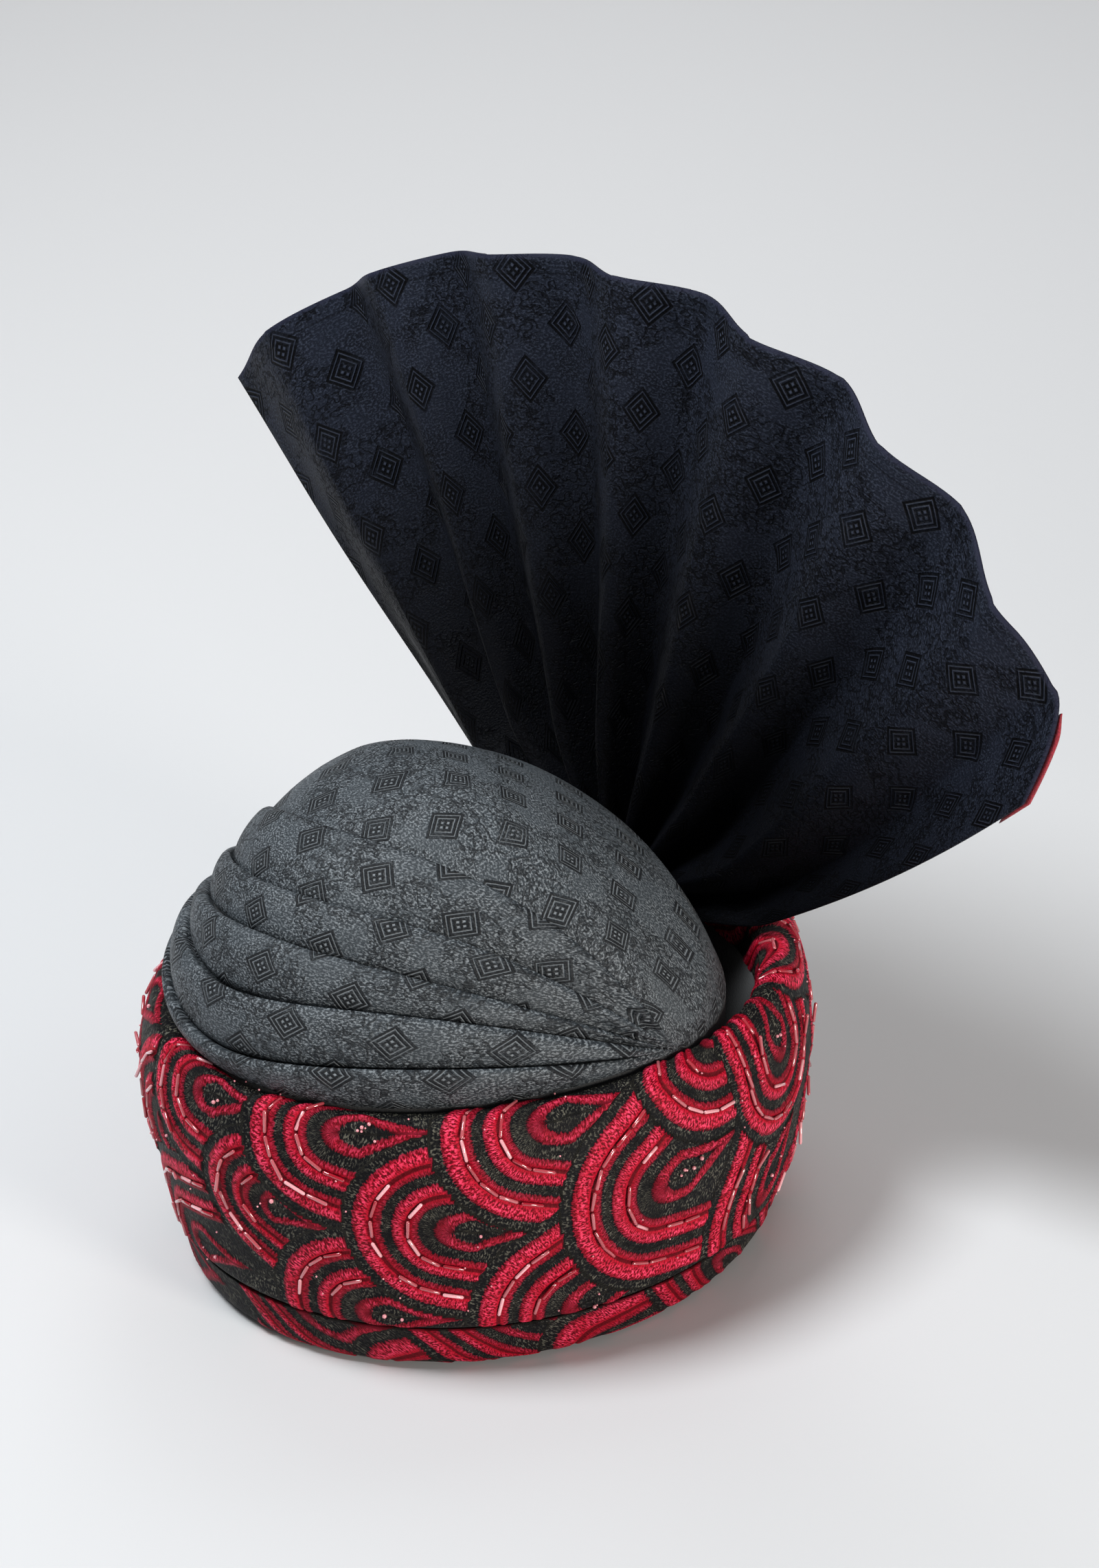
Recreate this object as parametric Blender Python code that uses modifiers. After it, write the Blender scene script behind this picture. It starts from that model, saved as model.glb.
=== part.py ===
"""A ready-made turban with a fan: a wound crown, a padded band round it, the band's turned-under
lower wrap, and a pleated fan with a coloured edging, tucked in at the back.

Metres and degrees. X is the wearer's left, -Y the front, Z up. The origin is the middle of the
head opening, on the plane that the turban stands on."""

import math

import bmesh
import bpy

# Head opening, and the crown's form. The crown is widest a little below its gathers, and it
# leans to the front as it rises.
OPENING_HALF_WIDTH = 0.082
OPENING_HALF_LENGTH = 0.100
CROWN_WALL = 0.004
CROWN_HALF_WIDTH = 0.101
CROWN_FRONT = 0.134
CROWN_BACK = 0.0728
CROWN_MIDDLE_Y = 0.0171
CROWN_LEAN = -0.0405
CROWN_WIDEST_Z = 0.0871
CROWN_RISE = 0.1101
CROWN_FOOT_Z = 0.0012
GATHER_Z = 0.108

CROWN_COLUMNS = 28
RING_COLUMNS = 2 * CROWN_COLUMNS
SKIRT_ROWS = 4

# Creases of the crown's folds: the angle up from the front edge over the brow and near the
# gathers, how far the crease lies outside the plain form, and how far its fold stands out.
FOLDS = (
    {"brow": 7.9, "side": 20.2, "out": 0.0020, "height": 0.0042},
    {"brow": 22.6, "side": 37.2, "out": -0.0021, "height": 0.0044},
    {"brow": 37.5, "side": 46.5, "out": -0.0054, "height": 0.0042},
    {"brow": 49.0, "side": 64.3, "out": -0.0056, "height": 0.0032},
    {"brow": 66.9, "side": 83.0, "out": -0.0038, "height": 0.0023},
)
FRONT_EDGE = {"brow": 0.0, "side": 0.0, "out": 0.0, "height": 0.0}
BACK_EDGE = {"brow": 180.0, "side": 180.0}
BROW_ROUNDING = 0.3
FOLD_FADE = 14
FORM_FADE = 25

# The smooth cloth from the last crease over the top to the back edge.
TOP_PANEL = (
    {"share": 0.00, "out": -0.0038},
    {"share": 0.07, "out": -0.0022},
    {"share": 0.15, "out": -0.0008},
    {"share": 0.23, "out": 0.0},
    {"share": 0.32, "out": 0.0},
    {"share": 0.42, "out": 0.0003},
    {"share": 0.52, "out": 0.0012},
    {"share": 0.62, "out": 0.0030},
    {"share": 0.72, "out": 0.0045},
    {"share": 0.82, "out": 0.0030},
    {"share": 0.91, "out": 0.0012},
    {"share": 1.00, "out": 0.0},
)

# A fold's profile from the crease below it to its own rounded upper edge.
FOLD_PROFILE = (
    {"share": 0.00, "rise": 0.00},
    {"share": 0.35, "rise": 0.55},
    {"share": 0.70, "rise": 0.90},
    {"share": 0.90, "rise": 1.00},
    {"share": 1.00, "rise": 0.70},
)
# The crown's inner side takes no folds.
LINING_PROFILE = (
    {"share": 0.0, "rise": 0.0},
    {"share": 0.5, "rise": 0.0},
)
FOLD_HEIGHT_AT_GATHER = 0.55

# The band's outer side: reach from the origin to the side, front and back, by share of the
# crest's height.
BAND_SIDE = (
    {"share": 0.00, "half_width": 0.1000, "front": 0.1165, "back": 0.1150},
    {"share": 0.05, "half_width": 0.1045, "front": 0.1210, "back": 0.1205},
    {"share": 0.20, "half_width": 0.1095, "front": 0.1245, "back": 0.1265},
    {"share": 0.38, "half_width": 0.1130, "front": 0.1285, "back": 0.1310},
    {"share": 0.60, "half_width": 0.1158, "front": 0.1335, "back": 0.1340},
    {"share": 0.78, "half_width": 0.1150, "front": 0.1360, "back": 0.1325},
    {"share": 0.91, "half_width": 0.1122, "front": 0.1340, "back": 0.1290},
    {"share": 0.98, "half_width": 0.1085, "front": 0.1305, "back": 0.1250},
)

# The band's foot sits a little to the left and front of its crest.
BAND_FOOT_SHIFT = {"x": 0.0040, "y": -0.0020, "fades_by": 0.70}
BAND_CREST_Z = 0.108
BAND_BACK_RISE = 0.003
BAND_POCKET_BACK = 0.0990
BAND_SEAT_INSET = 0.0015
BAND_SEAT_WIDTH = 0.0080
BAND_OUTER_SHARES = (0.215, 0.38, 0.60, 0.78, 0.91, 0.98)
BAND_INNER_TOP_SHARE = 0.97

# The lower wrap lies in a recess of the band, a little behind the band's face.
WRAP_SHARES = (0.02, 0.05, 0.12, 0.185)
RECESS_TOP_SHARE = 0.20
WRAP_SETBACK = 0.0012
WRAP_THICKNESS = 0.0014

# Fan: its fold edges at the back, from the wearer's right to the left. Angles are from upright
# towards the left, at the rim, where the fan comes out of the band, and at its root. reach is
# from the fan's focus to the rim. The last one is the loose edge.
FAN_VALLEYS = (
    {"rim": -53.5, "middle": -54.8, "root": -20.0, "reach": 0.290},
    {"rim": -35.0, "middle": -36.0, "root": -13.0, "reach": 0.283},
    {"rim": -22.1, "middle": -22.5, "root": -8.0, "reach": 0.282},
    {"rim": -7.4, "middle": -6.1, "root": 0.0, "reach": 0.281},
    {"rim": 6.4, "middle": 6.7, "root": 8.0, "reach": 0.284},
    {"rim": 20.6, "middle": 23.4, "root": 18.0, "reach": 0.289},
    {"rim": 34.1, "middle": 37.6, "root": 28.0, "reach": 0.289},
    {"rim": 48.2, "middle": 55.0, "root": 40.0, "reach": 0.287},
    {"rim": 54.6, "middle": 61.0, "root": 50.0, "reach": 0.247},
)
FAN_FOCUS = (-0.0238, 0.0875, 0.0675)
FAN_ROOT = 0.022
FAN_MIDDLE = 0.10
FAN_LEAN = 3.0
FAN_TURN = 2.0
FAN_DEPTH = 0.0125
FAN_ROOT_DEPTH = 0.0045
FAN_CLOTH = 0.0015
FAN_ROWS = 12
FAN_ROW_BIAS = 1.3
FACE_COLUMNS = 3
FOLD_ROUNDNESS = 0.45
LOOSE_EDGE_DEPTH = 0.5

EDGING_WIDTH = 0.0060
EDGING_OVERHANG = 0.0040
EDGING_THICKNESS = 0.0014
EDGING_COLUMNS = 6

GAP = 0.0004
WELD = 0.00001
SHARP_ANGLE = 50

CROWN_GREY = (0.075, 0.085, 0.090, 1.0)
FAN_NAVY = (0.008, 0.010, 0.015, 1.0)
BAND_RED = (0.42, 0.010, 0.035, 1.0)
WRAP_DARK = (0.16, 0.012, 0.022, 1.0)


def clear_scene():
    for item in list(bpy.data.objects):
        bpy.data.objects.remove(item, do_unlink=True)


def make_collection(name):
    collection = bpy.data.collections.new(name)
    bpy.context.scene.collection.children.link(collection)
    return collection


def make_material(name, colour, roughness, sheen):
    material = bpy.data.materials.new(name)
    material.use_nodes = True
    shader = material.node_tree.nodes["Principled BSDF"]
    shader.inputs["Base Color"].default_value = colour
    shader.inputs["Roughness"].default_value = roughness
    shader.inputs["Metallic"].default_value = 0.0
    shader.inputs["Sheen Weight"].default_value = sheen
    material.diffuse_color = colour
    return material


def mix(low, high, share):
    return low + (high - low) * share


def ease(share):
    """Smooth step from 0 to 1."""
    share = min(max(share, 0.0), 1.0)
    return share * share * (3.0 - 2.0 * share)


def add_grid(mesh, columns, rows, place):
    """Adds a grid of faces, with each point put in place by its column and row."""
    made = bmesh.ops.create_grid(mesh, x_segments=columns, y_segments=rows, size=0.5)
    for vert in made["verts"]:
        column = round((vert.co.x + 0.5) * columns)
        row = round((vert.co.y + 0.5) * rows)
        vert.co = place(column, row)


def finish(mesh, name, collection, material):
    """Welds the grids of a bmesh and turns them into one object."""
    bmesh.ops.remove_doubles(mesh, verts=mesh.verts, dist=WELD)
    bmesh.ops.recalc_face_normals(mesh, faces=mesh.faces)
    data = bpy.data.meshes.new(name)
    mesh.to_mesh(data)
    mesh.free()
    data.shade_smooth()
    data.set_sharp_from_angle(angle=math.radians(SHARP_ANGLE))
    data.materials.append(material)
    item = bpy.data.objects.new(name, data)
    collection.objects.link(item)
    return item


def wall_point(bearing, z, swell, back):
    """Point of the crown's wall below the gathers, on a bearing from +X. back is the wall's
    reach behind its middle at the gathers' height, and swell moves the wall outwards."""
    share = math.sin(0.5 * math.pi * min(z / GATHER_Z, 1.0))
    level = (GATHER_Z - CROWN_WIDEST_Z) / CROWN_RISE
    reach = math.sqrt(1.0 - level * level)
    foot = OPENING_HALF_LENGTH + CROWN_WALL
    half_width = mix(OPENING_HALF_WIDTH + CROWN_WALL, CROWN_HALF_WIDTH * reach, share)
    length = mix(foot, (back if math.sin(bearing) > 0.0 else CROWN_FRONT) * reach, share)
    middle = mix(0.0, CROWN_MIDDLE_Y + CROWN_LEAN * level, share)
    x = (half_width + swell) * math.cos(bearing)
    y = middle + (length + swell) * math.sin(bearing)
    return x, y, z


def dome_point(around, up, swell):
    """Point of the crown above the gathers. around runs from the left gather to the right one,
    and up runs from the front edge over the top to the back edge."""
    x = math.cos(around)
    y = -math.sin(around) * math.cos(up)
    climb = math.sin(around) * math.sin(up)
    level = mix((GATHER_Z - CROWN_WIDEST_Z) / CROWN_RISE, 1.0, climb)
    reach = math.sqrt(max(1.0 - level * level, 0.0)) / max(math.hypot(x, y), 1e-9)
    length = CROWN_BACK if y > 0.0 else CROWN_FRONT
    return (
        CROWN_HALF_WIDTH * reach * x + swell * x,
        CROWN_MIDDLE_Y + CROWN_LEAN * level + length * reach * y + swell * y,
        CROWN_WIDEST_Z + CROWN_RISE * level + swell * climb,
    )


def crease_angle(fold, around):
    """Angle up to a crease, lowest over the brow and rounded there."""
    aside = math.hypot(math.cos(around), BROW_ROUNDING) - BROW_ROUNDING
    furthest = math.hypot(1.0, BROW_ROUNDING) - BROW_ROUNDING
    return math.radians(mix(fold["brow"], fold["side"], aside / furthest))


def crown_rows(profile):
    """The crown's rows from the front edge to the back one: the two creases that a row lies
    between, its share of the way, how far it lies outside the plain form, and its fold's lift."""
    rows = []
    lower = FRONT_EDGE
    for fold in FOLDS:
        for step in profile:
            out = mix(lower["out"], fold["out"], step["share"])
            rows.append((lower, fold, step["share"], out, fold["height"] * step["rise"]))
        lower = fold
    for step in TOP_PANEL:
        rows.append((lower, BACK_EDGE, step["share"], step["out"], 0.0))
    return rows


def cloth_point(row, around, inside):
    """Point of the crown on one of its rows. Folds and form ease into the gathers."""
    lower, upper, share, out, lift = row
    up = mix(crease_angle(lower, around), crease_angle(upper, around), share)
    from_gather = math.degrees(min(around, math.pi - around))
    lift *= mix(FOLD_HEIGHT_AT_GATHER, 1.0, math.sin(around)) * ease(from_gather / FOLD_FADE)
    return dome_point(around, up, out * ease(from_gather / FORM_FADE) + lift - inside)


def skirt_height(row):
    return mix(GATHER_Z, CROWN_FOOT_Z, row / SKIRT_ROWS)


def make_crown(collection, material):
    rows = crown_rows(FOLD_PROFILE)
    lining_rows = crown_rows(LINING_PROFILE)

    def cloth(column, row):
        return cloth_point(rows[row], math.pi * column / CROWN_COLUMNS, 0.0)

    def lining(column, row):
        return cloth_point(lining_rows[row], math.pi * column / CROWN_COLUMNS, CROWN_WALL)

    def skirt(column, row, swell):
        bearing = -math.pi * column / CROWN_COLUMNS
        return wall_point(bearing, skirt_height(row), swell, CROWN_BACK)

    def foot(column, row):
        bearing = -math.pi * column / CROWN_COLUMNS
        return wall_point(bearing, CROWN_FOOT_Z, -CROWN_WALL * row, CROWN_BACK)

    mesh = bmesh.new()
    add_grid(mesh, CROWN_COLUMNS, len(rows) - 1, cloth)
    add_grid(mesh, CROWN_COLUMNS, len(lining_rows) - 1, lining)
    add_grid(mesh, RING_COLUMNS, SKIRT_ROWS, lambda c, r: skirt(c, r, 0.0))
    add_grid(mesh, RING_COLUMNS, SKIRT_ROWS, lambda c, r: skirt(c, r, -CROWN_WALL))
    add_grid(mesh, RING_COLUMNS, 1, foot)
    return finish(mesh, "crown", collection, material)


def crest_height(bearing):
    return BAND_CREST_Z + BAND_BACK_RISE * ease(math.sin(bearing))


def band_side(bearing, share, inset):
    """Point of the band's outer side at a share of the crest's height."""
    for low, high in zip(BAND_SIDE, BAND_SIDE[1:]):
        if share <= high["share"]:
            break
    between = (share - low["share"]) / (high["share"] - low["share"])
    half_width = mix(low["half_width"], high["half_width"], between) - inset
    end = "back" if math.sin(bearing) > 0.0 else "front"
    length = mix(low[end], high[end], between) - inset
    shift = ease(1.0 - share / BAND_FOOT_SHIFT["fades_by"])
    return (
        half_width * math.cos(bearing) + BAND_FOOT_SHIFT["x"] * shift,
        length * math.sin(bearing) + BAND_FOOT_SHIFT["y"] * shift,
        share * crest_height(bearing),
    )


def band_inside(bearing, z, away):
    """Point of the band's inner side, which leaves a pocket behind the crown for the fan."""
    x, y, _ = wall_point(bearing, z, GAP + away, BAND_POCKET_BACK)
    return x, y, z


def band_section(bearing):
    """The band's closed section on one bearing: seat, outer side, crest and inner side."""
    recess = WRAP_SETBACK + WRAP_THICKNESS + GAP
    points = [
        band_inside(bearing, 0.0, BAND_SEAT_INSET),
        band_inside(bearing, 0.0, BAND_SEAT_INSET + BAND_SEAT_WIDTH),
    ]
    points += [band_side(bearing, share, recess) for share in WRAP_SHARES + (RECESS_TOP_SHARE,)]
    points += [band_side(bearing, share, 0.0) for share in BAND_OUTER_SHARES]
    crest = crest_height(bearing)
    outer = points[-1]
    inner = band_inside(bearing, BAND_INNER_TOP_SHARE * crest, 0.0)
    points += [(mix(outer[0], inner[0], 0.5), mix(outer[1], inner[1], 0.5), crest), inner]
    points += [band_inside(bearing, skirt_height(row), 0.0) for row in range(1, SKIRT_ROWS + 1)]
    points.append(points[0])
    return points


def wrap_section(bearing):
    """The lower wrap's closed section: up its outer face and down its inner one."""
    outer = [band_side(bearing, share, WRAP_SETBACK) for share in WRAP_SHARES]
    back = WRAP_SETBACK + WRAP_THICKNESS
    inner = [band_side(bearing, share, back) for share in reversed(WRAP_SHARES)]
    return outer + inner + outer[:1]


def make_ring(name, section, collection, material):
    """A closed ring round the turban from its section on each bearing."""
    sections = [
        section(2.0 * math.pi * (column % RING_COLUMNS) / RING_COLUMNS)
        for column in range(RING_COLUMNS + 1)
    ]
    mesh = bmesh.new()
    add_grid(mesh, RING_COLUMNS, len(sections[0]) - 1, lambda c, r: sections[c][r])
    return finish(mesh, name, collection, material)


def fan_edges():
    """The fan's fold edges: a valley, a ridge halfway to the next valley, and so on."""
    edges = []
    for valley, following in zip(FAN_VALLEYS, FAN_VALLEYS[1:-1]):
        ridge = {key: mix(valley[key], following[key], 0.5) for key in valley}
        edges += [{**valley, "depth": 0.0}, {**ridge, "depth": 1.0}]
    edges.append({**FAN_VALLEYS[-2], "depth": 0.0})
    edges.append({**FAN_VALLEYS[-1], "depth": LOOSE_EDGE_DEPTH})
    return edges


def fan_angle(edge, radius):
    if radius > FAN_MIDDLE:
        return mix(edge["middle"], edge["rim"], (radius - FAN_MIDDLE) / (edge["reach"] - FAN_MIDDLE))
    return mix(edge["root"], edge["middle"], ease((radius - FAN_ROOT) / (FAN_MIDDLE - FAN_ROOT)))


def fan_point(edges, place, climb, beyond, behind):
    """Point of the fan at a place counted in fold edges and a share of the way up to the rim.
    beyond moves it on past there, and behind moves it back from the cloth's middle."""
    face = min(int(place), len(edges) - 2)
    low, high = edges[face], edges[face + 1]
    share = place - face
    radius = mix(FAN_ROOT, mix(low["reach"], high["reach"], share), climb) + beyond
    angle = math.radians(mix(fan_angle(low, radius), fan_angle(high, radius), share))
    rounded = mix(share, ease(share), FOLD_ROUNDNESS)
    depth = mix(FAN_ROOT_DEPTH, FAN_DEPTH, ease(radius / FAN_MIDDLE))
    forward = depth * mix(low["depth"], high["depth"], rounded) - behind
    lean = math.radians(FAN_LEAN)
    turn = math.radians(FAN_TURN)
    across = radius * math.sin(angle)
    upwards = radius * math.cos(angle)
    back = upwards * math.sin(lean) - forward * math.cos(lean)
    return (
        FAN_FOCUS[0] + across * math.cos(turn) - back * math.sin(turn),
        FAN_FOCUS[1] + across * math.sin(turn) + back * math.cos(turn),
        FAN_FOCUS[2] + upwards * math.cos(lean) + forward * math.sin(lean),
    )


def thicken(item, thickness):
    solidify = item.modifiers.new("Cloth thickness", "SOLIDIFY")
    solidify.thickness = thickness
    solidify.offset = 0.0
    solidify.use_even_offset = False
    solidify.show_render = True


def make_fan(collection, material):
    edges = fan_edges()

    def place(column, row):
        climb = (row / FAN_ROWS) ** FAN_ROW_BIAS
        return fan_point(edges, column / FACE_COLUMNS, climb, 0.0, 0.0)

    mesh = bmesh.new()
    add_grid(mesh, FACE_COLUMNS * (len(edges) - 1), FAN_ROWS, place)
    fan = finish(mesh, "fan", collection, material)
    thicken(fan, FAN_CLOTH)
    return fan


def make_edging(collection, material):
    edges = fan_edges()
    last = len(edges) - 1
    behind = 0.5 * (FAN_CLOTH + EDGING_THICKNESS) + GAP

    def place(column, row):
        beyond = EDGING_OVERHANG - EDGING_WIDTH * row
        return fan_point(edges, last - 1 + column / EDGING_COLUMNS, 1.0, beyond, behind)

    mesh = bmesh.new()
    add_grid(mesh, EDGING_COLUMNS, 1, place)
    edging = finish(mesh, "fan_edging", collection, material)
    thicken(edging, EDGING_THICKNESS)
    return edging


def main():
    clear_scene()
    turban = make_collection("turban")
    grey = make_material("crown_cloth", CROWN_GREY, 0.62, 0.3)
    navy = make_material("fan_cloth", FAN_NAVY, 0.45, 0.2)
    red = make_material("band_embroidery", BAND_RED, 0.75, 0.5)
    dark = make_material("wrap_embroidery", WRAP_DARK, 0.75, 0.5)
    edge_red = make_material("edging_cloth", BAND_RED, 0.7, 0.4)
    make_crown(turban, grey)
    make_ring("band", band_section, turban, red)
    make_ring("band_lower_wrap", wrap_section, turban, dark)
    make_fan(turban, navy)
    make_edging(turban, edge_red)


main()
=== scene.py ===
"""Looks of a ready-made turban: jacquard crown and pleated fan, and a padded band with stitched
feather motifs and glass beads.

Metres and degrees, in the model's frame: X is the wearer's left, -Y the front, Z up."""

import math
import random

import bpy
import numpy as np
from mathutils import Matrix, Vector

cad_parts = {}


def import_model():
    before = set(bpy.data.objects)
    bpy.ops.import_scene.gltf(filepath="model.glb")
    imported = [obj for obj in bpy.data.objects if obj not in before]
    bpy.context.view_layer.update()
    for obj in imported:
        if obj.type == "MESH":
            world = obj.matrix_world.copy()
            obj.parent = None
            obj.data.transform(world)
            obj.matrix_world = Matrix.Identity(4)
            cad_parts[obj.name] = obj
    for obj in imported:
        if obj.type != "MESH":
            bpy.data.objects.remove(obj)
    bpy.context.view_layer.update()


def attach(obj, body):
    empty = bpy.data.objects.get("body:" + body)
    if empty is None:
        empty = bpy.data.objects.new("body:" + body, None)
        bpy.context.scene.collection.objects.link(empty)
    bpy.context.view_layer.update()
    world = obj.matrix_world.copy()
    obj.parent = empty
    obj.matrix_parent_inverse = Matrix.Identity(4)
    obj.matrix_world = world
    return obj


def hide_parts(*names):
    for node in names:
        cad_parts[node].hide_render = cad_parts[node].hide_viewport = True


# Head opening, and the crown's form, as in the CAD.
OPENING_HALF_WIDTH = 0.082
OPENING_HALF_LENGTH = 0.100
CROWN_WALL = 0.004
CROWN_HALF_WIDTH = 0.101
CROWN_FRONT = 0.134
CROWN_BACK = 0.0728
CROWN_MIDDLE_Y = 0.0171
CROWN_LEAN = -0.0405
CROWN_WIDEST_Z = 0.0871
CROWN_RISE = 0.1101
CROWN_FOOT_Z = 0.0012
GATHER_Z = 0.108
CROWN_COLUMNS = 168
SKIRT_ROWS = 6
ROWS_A_FOLD = 13
PANEL_ROWS = 46
LINING_ROWS = 30

# The crown's folds: angle up to the crease over the brow and near the gathers, how far the crease
# falls past the brow, how far it lies outside the plain form, and how far the fold below it
# stands out.
FOLDS = (
    {"brow": 7.9, "side": 20.2, "falls": 2.0, "out": 0.0020, "height": 0.0048},
    {"brow": 22.6, "side": 37.2, "falls": 7.0, "out": -0.0021, "height": 0.0052},
    {"brow": 37.5, "side": 46.5, "falls": 11.0, "out": -0.0054, "height": 0.0050},
    {"brow": 49.0, "side": 64.3, "falls": 13.0, "out": -0.0056, "height": 0.0040},
    {"brow": 66.9, "side": 83.0, "falls": 15.0, "out": -0.0038, "height": 0.0030},
)
FRONT_EDGE = {"brow": 0.0, "side": 0.0, "falls": 0.0, "out": 0.0, "height": 0.0}
BACK_EDGE = {"brow": 180.0, "side": 180.0, "falls": 0.0, "out": 0.0, "height": 0.0}
BROW = 0.5 * math.pi
BROW_ROUNDING = 0.3
FALL_STARTS = 80.0
FALL_ENDS = 150.0
FOLD_CREST = 0.85
FOLD_SWELL = 0.8
FOLD_ROLL = 0.4
FOLD_LIP = {"share": 0.985, "height": 0.30, "behind": 0.8, "tuck": 0.3}
FOLD_FADE = 14.0
FORM_FADE = 25.0
FOLD_HEIGHT_AT_GATHER = 0.55
FOLD_TUCK_SHARE = 0.13
FOLD_TUCK_DEPTH = 0.0030
CREASE_WOBBLE = {"size": math.radians(0.9), "waves": 2.7, "shift": 1.9, "reach": 1.2}

# The smooth cloth from the last crease over the top to the back edge, and the lining's form.
PANEL_START = -0.03
PANEL_SHARE = (0.00, 0.07, 0.15, 0.23, 0.32, 0.42, 0.52, 0.62, 0.72, 0.82, 0.91, 1.00)
PANEL_OUT = (-0.0038, -0.0022, -0.0008, 0.0, 0.0, 0.0003, 0.0012, 0.0030, 0.0045, 0.0030, 0.0012, 0.0)
LINING_SHARE = (0.0, 0.2, 0.35, 0.5, 0.8, 1.0)
LINING_OUT = (0.0, -0.003, -0.0056, -0.001, 0.002, 0.0)

# The crown's cloth laid flat: the radius that turns angles into lengths, the middle of the top
# panel, how narrow a fold gets at the gathers, and how far the pattern's noise shifts a fold.
CLOTH_RADIUS = 0.118
PANEL_MIDDLE = 2.6
NARROWEST = 0.05
FOLD_SHIFT = 0.1

# Ridges by the gathers and soft unevenness elsewhere, in degrees round and radians up. A ridge
# wave is given by its pitch up, its phase, its turn round the crown and its strength.
RIDGE = {"height": 0.00054, "from": 8.0, "crest": 9.0, "reach": 20.0, "top": 1.75, "fade": 0.5, "edge": 0.25}
RIDGE_WAVES = ((13.0, 1.3, 0.0, 1.0), (21.0, 4.0, 1.0, 0.7), (34.0, 0.0, 0.0, 0.5))
UNEVEN = {"height": 0.00045, "from": 30.0}
UNEVEN_WAVES = ((3.1, 5.0), (-4.1, 2.3))

# The band's outer side, as in the CAD.
BAND_SHARE = (0.00, 0.05, 0.20, 0.38, 0.60, 0.78, 0.91, 0.98)
BAND_HALF_WIDTH = (0.1000, 0.1045, 0.1095, 0.1130, 0.1158, 0.1150, 0.1122, 0.1085)
BAND_FRONT = (0.1165, 0.1210, 0.1245, 0.1285, 0.1335, 0.1360, 0.1340, 0.1305)
BAND_BACK = (0.1150, 0.1205, 0.1265, 0.1310, 0.1340, 0.1325, 0.1290, 0.1250)
BAND_FOOT_SHIFT = {"x": 0.0040, "y": -0.0020, "fades_by": 0.70}
BAND_CREST_Z = 0.108
BAND_BACK_RISE = 0.003
BAND_POCKET_BACK = 0.0990
BAND_SEAT_INSET = 0.0015
BAND_SEAT_WIDTH = 0.0080
BAND_INNER_TOP_SHARE = 0.97
BAND_COLUMNS = 656
BAND_OUTER_SHARES = (0.22, 0.30, 0.40, 0.50, 0.60, 0.70, 0.80, 0.88, 0.94, 0.98)
BAND_STEPS = (3, 3, 9, 11, 11, 11, 11, 11, 9, 7, 5, 8, 8, 8)
BAND_INNER_HEIGHTS = (0.088, 0.060, 0.030, 0.002)
BAND_LIP = {"above": 0.001, "inset": 0.0012}
BAND_START = math.radians(-120.0)
RECESS_TOP_SHARE = 0.20
WRAP_SHARES = (0.02, 0.05, 0.12, 0.185)
WRAP_SETBACK = 0.0012
WRAP_THICKNESS = 0.0014
WRAP_HEIGHT = 0.019
WRAP_STEPS = (5, 7, 7)
WRAP_SLANT = 0.9
WRAP_RELIEF = 0.6
GAP = 0.0004
RECESS_DEPTH = WRAP_SETBACK + WRAP_THICKNESS + GAP

# The fan, as in the CAD, with a rounded last corner and its edging strip.
FAN_VALLEYS = (
    {"rim": -53.5, "middle": -54.8, "root": -20.0, "reach": 0.290},
    {"rim": -35.0, "middle": -36.0, "root": -13.0, "reach": 0.283},
    {"rim": -22.1, "middle": -22.5, "root": -8.0, "reach": 0.282},
    {"rim": -7.4, "middle": -6.1, "root": 0.0, "reach": 0.281},
    {"rim": 6.4, "middle": 6.7, "root": 8.0, "reach": 0.284},
    {"rim": 20.6, "middle": 23.4, "root": 18.0, "reach": 0.289},
    {"rim": 34.1, "middle": 37.6, "root": 28.0, "reach": 0.289},
    {"rim": 48.2, "middle": 55.0, "root": 40.0, "reach": 0.287},
    {"rim": 55.0, "middle": 61.0, "root": 50.0, "reach": 0.252},
)
FAN_FOCUS = (-0.0238, 0.0875, 0.0675)
FAN_ROOT = 0.022
FAN_MIDDLE = 0.10
FAN_LEAN = 3.0
FAN_TURN = 2.0
FAN_DEPTH = 0.0125
FAN_ROOT_DEPTH = 0.0045
FAN_CLOTH = 0.0013
FOLD_ROUNDNESS = 0.80
LOOSE_EDGE_DEPTH = 0.5
FACE_COLUMNS = 14
FAN_ROWS = 110
FACE_CLOTH = 0.040
FAN_HEIGHT = 0.268
CORNER = {"cut": 0.0050, "width": 0.70, "fall": 1.6}
ROW_BIAS = 1.15
FAN_SWAY = {"size": 0.0007, "waves": 38.0, "shift": 1.7, "from": 0.15}
EDGING = {"from": 0.25, "to": 1.04, "width": 0.016, "overhang": 0.0028, "behind": 0.0022}
EDGING_REACH = 0.25
EDGING_THICKNESS = 0.0010
EDGING_COLUMNS = 24
EDGING_EASE = 0.3

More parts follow.
